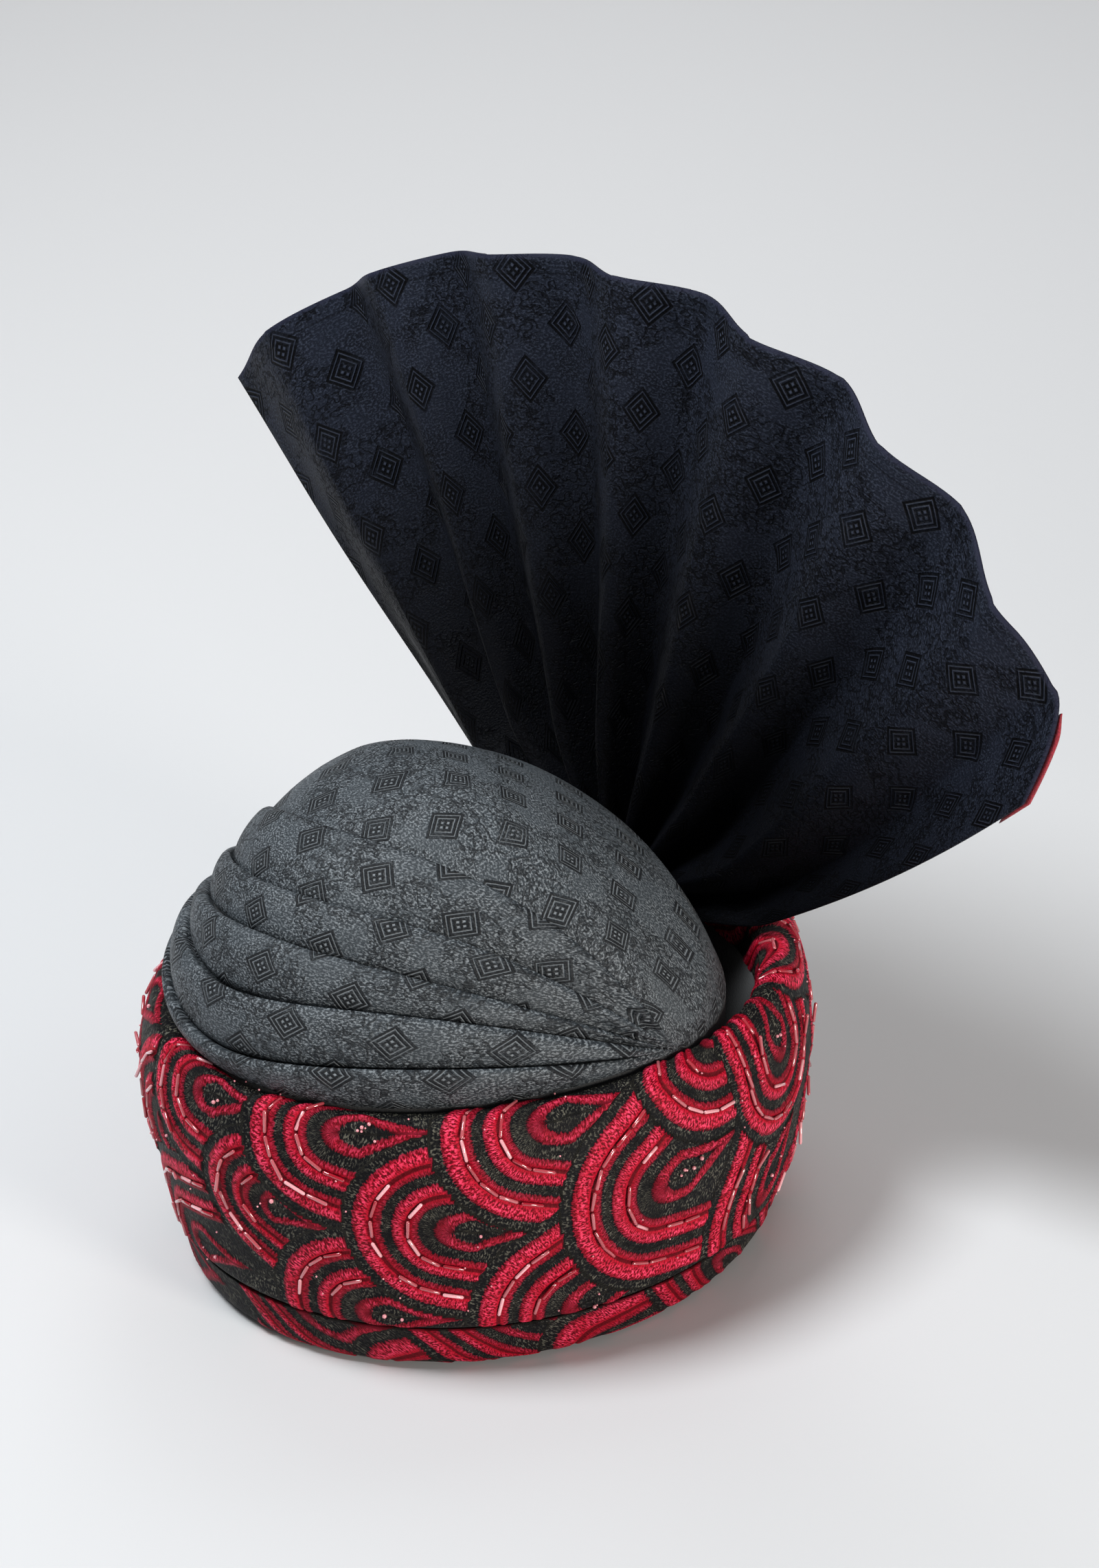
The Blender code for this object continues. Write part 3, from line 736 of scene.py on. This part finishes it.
def make_beads(skin, motifs, bugle_material, seed_material):
    rng = random.Random(SEED)
    verts = []
    faces = []
    tints = []
    seed_verts = []
    seed_faces = []
    top = skin.height[-1] - BEAD_TOP
    for index, motif in enumerate(motifs):
        for stripe in RED_LANES:
            u, v, length = ring_path(motif, stripe["line"])
            at = rng.uniform(0.0, BUGLE["pitch"])
            while at + BUGLE["length"] < length[-1]:
                ends = [at, at + BUGLE["length"] * rng.uniform(0.90, 1.0)]
                at += BUGLE["pitch"]
                spots = [(np.interp(e, length, u), np.interp(e, length, v)) for e in ends]
                inside = all(BEAD_FOOT < spot[1] < top for spot in spots)
                if not inside or any(covering(motifs, *spot) != index for spot in spots):
                    continue
                if rng.random() < MISSING_SHARE:
                    continue
                points = []
                for spot in spots:
                    point, normal = skin.at(*spot)
                    proud = BUGLE["radius"] * rng.uniform(0.9, 1.6)
                    proud += BUGLE["stray"] * rng.random() ** BUGLE["rarity"]
                    points.append(point + normal * proud)
                add_tube(verts, faces, *points)
                # A share of the beads is pale pink, partly painted highlights.
                tint = rng.uniform(0.6, 1.0) if rng.random() < PINK_AND_HIGHLIGHT_SHARE else 0.25 * rng.random()
                tints += [tint] * (len(verts) - len(tints))
        for _ in range(rng.choice(EYE_SEEDS)):
            x = rng.uniform(-EYE_HALF[0], EYE_HALF[0])
            u, v = motif_point(motif, x, rng.uniform(-EYE_HALF[1], EYE_HALF[1]))
            if BEAD_FOOT < v < top and covering(motifs, u, v) == index:
                point, normal = skin.at(u, v)
                radius = SEED_RADIUS * rng.uniform(0.6, 1.15)
                add_seed(seed_verts, seed_faces, point + normal * SEED_PROUD, normal, radius)
    for _ in range(LOOSE_SEEDS):
        u = rng.uniform(skin.length[0], skin.length[-1])
        point, normal = skin.at(u, rng.uniform(LOOSE_FOOT, top))
        add_seed(seed_verts, seed_faces, point + normal * LOOSE_PROUD, normal, 0.5 * SEED_RADIUS)
    bugles = shaded("bugle_beads", verts, faces, bugle_material)
    store(bugles.data, "tint", "FLOAT", np.array(tints, dtype=np.float32))
    seeds = shaded("seed_beads", seed_verts, seed_faces, seed_material)


# Fan


def fan_edges():
    """The sheet's fold edges in turn: valleys, the ridges between them and the loose edge."""
    edges = []
    for valley, following in zip(FAN_VALLEYS, FAN_VALLEYS[1:-1]):
        ridge = {key: mix(valley[key], following[key], 0.5) for key in valley}
        edges += [{**valley, "depth": 0.0}, {**ridge, "depth": 1.0}]
    edges.append({**FAN_VALLEYS[-2], "depth": 0.0})
    edges.append({**FAN_VALLEYS[-1], "depth": LOOSE_EDGE_DEPTH})
    return edges


def fan_angle(edge, radius):
    """Angle of a fold edge from upright, which bends in towards the root."""
    outer = mix(edge["middle"], edge["rim"], (radius - FAN_MIDDLE) / (edge["reach"] - FAN_MIDDLE))
    inner = mix(edge["root"], edge["middle"], ease((radius - FAN_ROOT) / (FAN_MIDDLE - FAN_ROOT)))
    return np.where(radius > FAN_MIDDLE, outer, inner)


def fan_point(edges, face, share, climb, behind=0.0):
    """Point of the pleated sheet, with its radius and the reach of the rim there."""
    low, high = edges[face], edges[face + 1]
    last = len(edges) - 2
    if face == last:
        reach = mix(low["reach"] - CORNER["cut"], high["reach"], share ** CORNER["fall"])
    else:
        near = 1.0 + (face + share - last) / CORNER["width"]
        reach = mix(low["reach"], high["reach"], share) - CORNER["cut"] * float(ease(np.array(near)))
    radius = mix(FAN_ROOT, reach, climb)
    angle = np.radians(mix(fan_angle(low, radius), fan_angle(high, radius), share))
    rounded = mix(share, float(ease(np.array(share))), FOLD_ROUNDNESS)
    depth = mix(FAN_ROOT_DEPTH, FAN_DEPTH, ease(radius / FAN_MIDDLE))
    sway = FAN_SWAY["size"] * np.sin(FAN_SWAY["waves"] * radius + FAN_SWAY["shift"] * face)
    sway = sway * ease(radius / FAN_SWAY["from"])
    forward = depth * mix(low["depth"], high["depth"], rounded) + sway - behind
    aside = radius * np.sin(angle)
    upwards = radius * np.cos(angle)
    lean = math.radians(FAN_LEAN)
    turn = math.radians(FAN_TURN)
    back = upwards * math.sin(lean) - forward * math.cos(lean)
    point = np.stack(
        (
            FAN_FOCUS[0] + aside * math.cos(turn) - back * math.sin(turn),
            FAN_FOCUS[1] + aside * math.sin(turn) + back * math.cos(turn),
            FAN_FOCUS[2] + upwards * math.cos(lean) + forward * math.sin(lean),
        ),
        axis=-1,
    )
    return point, radius, reach


def thicken(item, thickness):
    wall = item.modifiers.new("Cloth thickness", "SOLIDIFY")
    wall.thickness = thickness
    wall.offset = 0.0


def make_fan(material):
    edges = fan_edges()
    climb = (np.arange(FAN_ROWS + 1) / FAN_ROWS) ** ROW_BIAS
    columns = FACE_COLUMNS * (len(edges) - 1)
    points = np.zeros((FAN_ROWS + 1, columns + 1, 3))
    cloth = np.zeros((FAN_ROWS + 1, columns + 1, 3))
    for column in range(columns + 1):
        face = min(column // FACE_COLUMNS, len(edges) - 2)
        points[:, column], radius, reach = fan_point(edges, face, column / FACE_COLUMNS - face, climb)
        cloth[:, column, 0] = FACE_CLOTH * column / FACE_COLUMNS
        cloth[:, column, 1] = radius
        cloth[:, column, 2] = reach - radius
    fan = make_piece("fan_pleats", points, {"cloth": cloth}, material)
    thicken(fan, FAN_CLOTH)
    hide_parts("fan")
    cell = np.cross(np.diff(points, axis=0)[:, :-1], np.diff(points, axis=1)[:-1])
    area = float(np.linalg.norm(cell, axis=2).sum())
    rim = float(np.linalg.norm(np.diff(points[-1], axis=0), axis=1).sum())
    area = min(area, rim * FAN_HEIGHT)


def make_edging(material):
    """The strip that shows past the rim behind the fan's last face."""
    edges = fan_edges()
    points = []
    for share in np.linspace(EDGING["from"], EDGING["to"], EDGING_COLUMNS):
        overhang = EDGING["overhang"] * float(ease(np.array((share - EDGING["from"]) / EDGING_EASE)))
        past_rim = np.array((-EDGING["width"], -0.5 * EDGING["width"], 0.0, overhang))
        climb = 1.0 + past_rim / EDGING_REACH
        points.append(fan_point(edges, len(edges) - 2, share, climb, EDGING["behind"])[0])
    strip = make_piece("edging_strip", np.stack(points), {}, material)
    thicken(strip, EDGING_THICKNESS)
    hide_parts("fan_edging")


# Materials

# Noise scales, in cycles a metre of cloth.
WEAVE_SCALE = 1150.0
CLOUD_SCALE = 60.0
WEAR_SCALE = 90.0
CURL_SCALE = 150.0
LEAF_SCALE = 420.0
PATCH_SCALE = 30.0
STITCH_SCALE = 1500.0
SHADE_SCALE = 150.0
FUZZ_SCALE = 1700.0
LINING_SCALE = 1400.0
LINING_CLOUD_SCALE = 70.0

# A diamond's lines, by their reach from its middle as a share of the repeat.
DIAGONAL = 0.7071
DIAMOND_SIZE = 1.16
DIAMOND_LIGHT = ((0.200, 0.216), (0.128, 0.146))
DIAMOND_DARK = ((0.156, 0.190), (0.224, 0.262))
DIAMOND_SOFT = 0.008
DIAMOND_MIDDLE = 0.118
CHECK_SIZE = 0.040

CROWN_JACQUARD = {
    "base": (0.034, 0.041, 0.048, 1.0),
    "light": (0.360, 0.395, 0.425, 1.0),
    "dark": (0.004, 0.005, 0.007, 1.0),
    "pitch": 0.0297,
    "grain_and_glint": 0.85,
    "lines": 0.50,
    "gloss": 0.25,
}
FAN_JACQUARD = {
    "base": (0.0110, 0.0135, 0.0220, 1.0),
    "light": (0.075, 0.090, 0.135, 1.0),
    "dark": (0.0008, 0.0008, 0.0013, 1.0),
    "pitch": 0.0300,
    "grain_and_glint": 0.60,
    "lines": 0.55,
    "gloss": 0.06,
    "hem": (0.02, 0.022, 0.04, 1.0),
}


class Shader:
    """A Principled material whose numbers come from short chains of nodes."""

    def __init__(self, name):
        self.material = bpy.data.materials.new(name)
        self.material.use_nodes = True
        self.tree = self.material.node_tree
        self.out = self.tree.nodes["Principled BSDF"]

    def node(self, kind, *values, **settings):
        """A new node, with values for its inputs in turn."""
        made = self.tree.nodes.new(kind)
        for key, value in settings.items():
            setattr(made, key, value)
        for socket, value in zip(made.inputs, values):
            self.plug(socket, value)
        return made

    def plug(self, socket, value):
        if isinstance(value, bpy.types.NodeSocket):
            self.tree.links.new(value, socket)
        else:
            socket.default_value = value

    def math(self, operation, *values):
        return self.node("ShaderNodeMath", *values, operation=operation).outputs[0]

    def product(self, first, *others):
        for other in others:
            first = self.math("MULTIPLY", first, other)
        return first

    def attribute(self, name):
        made = self.node("ShaderNodeAttribute", attribute_name=name)
        return made.outputs["Vector"], self.node("ShaderNodeSeparateXYZ", made.outputs["Vector"]).outputs

    def vector(self, x, y, z):
        return self.node("ShaderNodeCombineXYZ", x, y, z).outputs[0]

    def noise(self, vector, scale, detail, roughness=0.5):
        made = self.node("ShaderNodeTexNoise")
        self.plug(made.inputs["Vector"], vector)
        made.inputs["Scale"].default_value = scale
        made.inputs["Detail"].default_value = detail
        made.inputs["Roughness"].default_value = roughness
        return made.outputs[0]

    def band(self, value, low, high, soft):
        """1 between low and high, easing to 0 over soft."""
        rise = self.ramp(value, low - soft, low + soft)
        fall = self.ramp(value, high - soft, high + soft)
        return self.math("SUBTRACT", rise, fall)

    def ramp(self, value, low, high, to_low=0.0, to_high=1.0):
        span = (value, low, high, to_low, to_high)
        return self.node("ShaderNodeMapRange", *span, interpolation_type="SMOOTHSTEP").outputs[0]

    def blend(self, share, first, second):
        made = self.node("ShaderNodeMix", data_type="RGBA")
        self.plug(made.inputs[0], share)
        self.plug(made.inputs[6], first)
        self.plug(made.inputs[7], second)
        return made.outputs[2]

    def bump(self, height, distance):
        made = self.node("ShaderNodeBump")
        made.inputs["Strength"].default_value = 1.0
        made.inputs["Distance"].default_value = distance
        self.plug(made.inputs["Height"], height)
        return made.outputs[0]

    def set(self, **inputs):
        for key, value in inputs.items():
            self.plug(self.out.inputs[key.replace("_", " ").title()], value)


def jacquard_lines(shader, u, v, vector, pitch):
    """Tone-on-tone weave: a lattice of diamonds with a checked middle and patches of curling vine
    between them. Gives light lines, dark lines, the diamonds' own ground and vine, each 0 to 1."""
    sides = []
    for operation in ("ADD", "SUBTRACT"):
        lattice = shader.product(shader.math(operation, u, v), DIAGONAL / pitch)
        sides.append(shader.math("ABSOLUTE", shader.math("SUBTRACT", shader.math("FRACT", lattice), 0.5)))
    reach = shader.product(shader.math("MAXIMUM", *sides), DIAMOND_SIZE)
    light = shader.math("ADD", *(shader.band(reach, *line, DIAMOND_SOFT) for line in DIAMOND_LIGHT))
    dark = shader.math("ADD", *(shader.band(reach, *line, DIAMOND_SOFT) for line in DIAMOND_DARK))
    middle = shader.math("LESS_THAN", reach, DIAMOND_MIDDLE)
    check = shader.math("MINIMUM", *(shader.math("PINGPONG", side, CHECK_SIZE) for side in sides))
    light = shader.math("ADD", light, shader.product(middle, shader.ramp(check, 0.016, 0.026)))
    dark = shader.math("ADD", dark, shader.product(middle, shader.ramp(check, 0.016, 0.006)))
    ground = shader.ramp(reach, 0.266, 0.250)
    curl = shader.math("SUBTRACT", shader.noise(vector, CURL_SCALE, 1.0), 0.5)
    vine = shader.ramp(shader.math("ABSOLUTE", curl), 0.036, 0.016)
    leaf = shader.noise(vector, LEAF_SCALE, 1.0)
    vine = shader.math("MAXIMUM", vine, shader.ramp(leaf, 0.60, 0.66))
    patch = shader.ramp(shader.noise(vector, PATCH_SCALE, 1.0), 0.43, 0.50)
    between = shader.product(shader.ramp(reach, 0.275, 0.300), patch)
    return light, dark, ground, shader.product(vine, between)


def jacquard(name, base, light, dark, pitch, grain_and_glint, lines, gloss, hem=None):
    """Jacquard cloth. Two numbers say how strongly its light flecks, which are partly painted glints,
    and its diamonds show. With a hem colour, the cloth also gets painted shade towards the fan's root,
    the hem along the rim and a seam.
    """
    shader = Shader(name)
    vector, (u, v, from_rim) = shader.attribute("cloth")
    raised, sunk, ground, vine = jacquard_lines(shader, u, v, vector, pitch)
    weave = shader.noise(shader.vector(shader.product(u, 0.7), v, 0.0), WEAVE_SCALE, 2.0, 0.6)
    cloudy = shader.noise(vector, CLOUD_SCALE, 3.0)
    worn = shader.ramp(shader.noise(vector, WEAR_SCALE, 2.0), 0.34, 0.58, 0.55, 1.0)
    # Light flecks of the weave, partly painted glints on the threads, drawn out along the cloth.
    fleck_and_glint = shader.product(shader.ramp(weave, 0.46, 0.64), shader.ramp(cloudy, 0.38, 0.60, 0.40, 1.0))
    body = shader.blend(shader.product(fleck_and_glint, grain_and_glint), base, light)
    body = shader.blend(shader.ramp(cloudy, 0.42, 0.60, 0.0, 0.40), body, dark)
    body = shader.blend(shader.product(ground, worn, 0.55), body, dark)
    body = shader.blend(shader.product(vine, 0.68), body, dark)
    body = shader.blend(shader.product(sunk, worn, 0.90), body, dark)
    body = shader.blend(shader.product(raised, worn, lines), body, light)
    if hem is not None:
        # Painted shade: the fan's cloth darkens towards its root.
        body = shader.blend(shader.ramp(v, 0.285, 0.120, 0.0, 0.92), body, dark)
        body = shader.blend(shader.ramp(from_rim, 0.0022, 0.0004), body, hem)
        seam = shader.band(from_rim, 0.0068, 0.0076, 0.0002)
        body = shader.blend(shader.product(seam, 0.5), body, dark)
    height = shader.math("SUBTRACT", shader.math("SUBTRACT", raised, sunk), vine)
    height = shader.math("MULTIPLY_ADD", weave, 1.1, height)
    rough = shader.ramp(height, -1.0, 1.6, 0.66, 0.42)
    shader.set(base_color=body, roughness=rough, normal=shader.bump(height, 0.00045))
    shader.plug(shader.out.inputs["Specular IOR Level"], gloss)
    return shader.material


def embroidery(name, brightness):
    """Short stitches across each lane, crimson in the red lanes and olive-black between them, with
    a jagged border where they meet. Pale pink stitches are painted highlights, and painted shade
    darkens each red lane towards its edges and lays a dark line in the groove under the bead rows.
    brightness darkens a whole copy, which for the wrap is painted shade."""
    shader = Shader(name)
    _, (red, lane, thread) = shader.attribute("field")
    _, (u, v, tone) = shader.attribute("cloth")
    across_lane = shader.product(lane, 0.45)
    stitch = shader.noise(shader.vector(thread, across_lane, tone), STITCH_SCALE, 2.0, 0.55)
    broad = shader.noise(shader.vector(u, v, tone), SHADE_SCALE, 2.0)
    fuzz = shader.noise(shader.vector(u, v, tone), FUZZ_SCALE, 1.0)
    jag = shader.product(shader.math("SUBTRACT", stitch, 0.5), 0.0030)
    is_red = shader.ramp(shader.math("ADD", red, jag), -0.00022, 0.00022)
    away = shader.math("ABSOLUTE", lane)
    highlight_pink = (0.96 * brightness, 0.070 * brightness, 0.165 * brightness, 1.0)
    crimson = (0.50 * brightness, 0.004 * brightness, 0.022 * brightness, 1.0)
    deep_red_and_shade = (0.115 * brightness, 0.0012, 0.006, 1.0)
    olive = (0.130 * brightness, 0.124 * brightness, 0.098 * brightness, 1.0)
    black = (0.004, 0.004, 0.005, 1.0)
    reds = shader.blend(shader.ramp(stitch, 0.40, 0.56), deep_red_and_shade, crimson)
    # Painted highlights: pale pink stitches where light catches the thread, fewer near the bead line.
    lit = shader.product(shader.ramp(stitch, 0.46, 0.64), shader.ramp(broad, 0.25, 0.62, 0.25, 1.0))
    lit = shader.product(lit, shader.ramp(away, 0.0012, 0.0034, 0.15, 1.0))
    reds = shader.blend(lit, reds, highlight_pink)
    reds = shader.blend(shader.ramp(away, 0.0009, 0.0026, 0.45, 0.0), reds, crimson)
    reds = shader.blend(shader.ramp(lane, -0.0004, -0.0012, 0.0, 0.35), reds, deep_red_and_shade)
    # Painted shade: each red lane darkens towards its edges, where the raised cord rounds down.
    reds = shader.blend(shader.ramp(red, 0.0002, 0.0019, 0.70, 0.0), reds, deep_red_and_shade)
    # Painted shade: a dark line in the groove under the bead rows.
    groove = shader.ramp(away, 0.0011, 0.0006)
    reds = shader.blend(shader.product(groove, 0.85), reds, (0.060, 0.001, 0.003, 1.0))
    speckle = shader.product(shader.ramp(stitch, 0.49, 0.67), shader.ramp(broad, 0.34, 0.62, 0.15, 1.0))
    darks = shader.blend(speckle, black, olive)
    colour = shader.blend(is_red, darks, reds)
    height = shader.math("MULTIPLY_ADD", fuzz, 0.35, stitch)
    height = shader.math("MULTIPLY_ADD", is_red, 0.5, height)
    shader.set(base_color=colour, roughness=0.55, normal=shader.bump(height, 0.00040))
    shader.plug(shader.out.inputs["Specular IOR Level"], 0.10)
    return shader.material


def bugle_glass(name):
    """Deep red glass, with some beads pale pink, which is partly painted highlights."""
    shader = Shader(name)
    tint = shader.node("ShaderNodeAttribute", attribute_name="tint").outputs["Fac"]
    shade = shader.blend(tint, (0.36, 0.003, 0.016, 1.0), (0.95, 0.46, 0.50, 1.0))
    shader.set(base_color=shade, roughness=0.12, coat_weight=1.0, coat_roughness=0.05)
    shader.plug(shader.out.inputs["IOR"], 1.6)
    return shader.material


def seed_glass(name, colour):
    """Clear-coated round beads of one colour."""
    shader = Shader(name)
    shader.set(base_color=colour, roughness=0.15, coat_weight=1.0, coat_roughness=0.05)
    return shader.material


def plain_cloth(name, colour, light):
    """Unpatterned cloth with a fine weave."""
    shader = Shader(name)
    spot = shader.node("ShaderNodeTexCoord").outputs["Object"]
    weave = shader.noise(spot, LINING_SCALE, 2.0)
    cloudy = shader.noise(spot, LINING_CLOUD_SCALE, 3.0)
    body = shader.blend(shader.ramp(weave, 0.35, 0.7), colour, light)
    body = shader.blend(shader.ramp(cloudy, 0.35, 0.75, 0.0, 0.4), body, colour)
    shader.set(base_color=body, roughness=0.8, normal=shader.bump(weave, 0.0002), sheen_weight=0.2)
    return shader.material


# Stage


CAMERA_AZIMUTH = 48.70
CAMERA_HEIGHT = 27.66
CAMERA_DISTANCE = 1.586
CAMERA_LENS = 98.68
CAMERA_SENSOR = 36.0
TARGET = (0.0172, 0.0195, 0.1814)
LIGHT_AIM = (0.0, 0.0, 0.12)
BACKDROP_AWAY = 1.7
FLOOR_HALF = 6.0


def toward(azimuth, height):
    """Unit vector from the origin, with azimuth from the front towards the wearer's left."""
    a = math.radians(azimuth)
    e = math.radians(height)
    return Vector((math.sin(a) * math.cos(e), -math.cos(a) * math.cos(e), math.sin(e)))


def look(item, target, azimuth, height, distance):
    """Sets a camera or light at a distance from its target, facing it."""
    direction = toward(azimuth, height)
    item.location = Vector(target) + direction * distance
    item.rotation_euler = direction.to_track_quat("Z", "Y").to_euler()


def add_camera():
    data = bpy.data.cameras.new("camera")
    data.sensor_fit = "VERTICAL"
    data.sensor_height = CAMERA_SENSOR
    data.lens = CAMERA_LENS
    data.clip_start = 0.05
    camera = place("camera", data)
    look(camera, TARGET, CAMERA_AZIMUTH, CAMERA_HEIGHT, CAMERA_DISTANCE)
    bpy.context.scene.camera = camera


def add_light(name, azimuth, height, distance, size, power, colour, aim=LIGHT_AIM, spread=180.0):
    """A soft round light, aimed at a point from a direction."""
    data = bpy.data.lights.new(name, "AREA")
    data.shape = "DISK"
    data.size = size
    data.energy = power
    data.color = colour
    data.spread = math.radians(spread)
    look(place(name, data), aim, azimuth, height, distance)


def add_stage():
    floor_shader = Shader("pale_floor")
    floor_shader.set(base_color=(0.66, 0.66, 0.67, 1.0), roughness=0.75)
    data = bpy.data.meshes.new("floor")
    corners = [(FLOOR_HALF * x, FLOOR_HALF * y, 0.0) for x, y in ((-1, -1), (1, -1), (1, 1), (-1, 1))]
    data.from_pydata(corners, [], [(0, 1, 2, 3)])
    data.materials.append(floor_shader.material)
    floor = place("floor", data)
    world = bpy.data.worlds.new("studio")
    world.use_nodes = True
    background = world.node_tree.nodes["Background"]
    background.inputs["Color"].default_value = (0.94, 0.96, 1.0, 1.0)
    background.inputs["Strength"].default_value = 0.16
    bpy.context.scene.world = world
    add_light("key", -24.0, 62.0, distance=1.7, size=0.7, power=31.0, colour=(0.94, 0.98, 1.0))
    add_light("fill", 92.0, 9.0, distance=1.8, size=0.5, power=24.0, colour=(1.0, 0.94, 0.86))
    add_light("back", 215.0, 50.0, distance=2.0, size=1.0, power=5.0, colour=(0.95, 0.97, 1.0))
    add_light(
        "backdrop",
        0.0,
        89.0,
        distance=1.8,
        size=2.2,
        power=9.0,
        colour=(1.0, 1.0, 0.99),
        aim=toward(CAMERA_AZIMUTH + 180.0, 0.0) * BACKDROP_AWAY,
        spread=110.0,
    )


def main():
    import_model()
    lining = plain_cloth("lining", (0.012, 0.013, 0.015, 1.0), (0.035, 0.037, 0.040, 1.0))
    make_crown(jacquard("crown_cloth", **CROWN_JACQUARD), lining)
    skin, height, bearing, motifs = make_band(embroidery("band_embroidery", 1.0), lining)
    # The wrap's embroidery is a darker copy of the band's: painted shade where it sits back under the lip.
    make_wrap(embroidery("wrap_embroidery", 0.85), bearing, motifs)
    seeds = seed_glass("seed_glass", (0.80, 0.30, 0.34, 1.0))
    make_beads(Skin(skin, height, bearing), motifs, bugle_glass("bugle_glass"), seeds)
    make_fan(jacquard("fan_cloth", **FAN_JACQUARD))
    make_edging(plain_cloth("edging_cloth", (0.20, 0.005, 0.015, 1.0), (0.42, 0.02, 0.04, 1.0)))
    add_stage()
    add_camera()
    bpy.context.scene.view_settings.view_transform = "Standard"


main()
